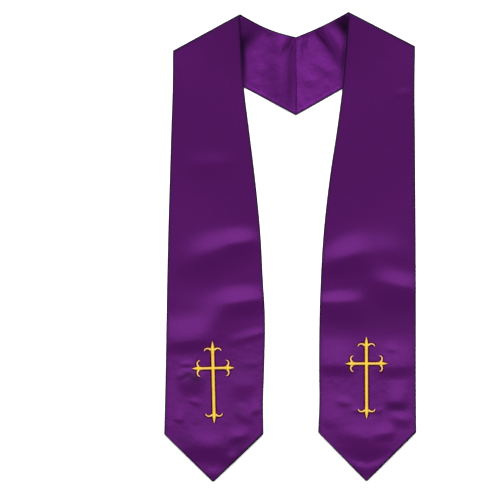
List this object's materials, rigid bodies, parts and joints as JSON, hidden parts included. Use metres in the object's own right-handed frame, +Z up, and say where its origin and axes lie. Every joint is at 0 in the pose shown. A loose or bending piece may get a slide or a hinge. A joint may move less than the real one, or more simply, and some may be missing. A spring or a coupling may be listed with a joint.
{
  "type": "choir stole, laid flat",
  "caption": "Purple satin choir stole laid flat, its pointed front panels folded over the back neck and a gold cross embroidered above each hem.",
  "frame": {"origin": "middle of the stole's footprint, on the table it lies on", "axes": "+X across the stole from one panel to the other, +Y up its length from the hems to the neck, +Z up from the table"},
  "size_m": [0.3202, 0.5972, 0.008],
  "materials": {
    "satin": "glossy purple polyester satin",
    "lining": "glossy purple polyester satin, the lining side",
    "gold_thread": "satin-stitched gold yellow embroidery thread"
  },
  "bodies": {
    "root": {"face_left": "satin", "lining_left": "lining", "cross_left": "gold_thread", "face_right": "satin", "lining_right": "lining", "cross_right": "gold_thread"}
  },
  "joints": []
}
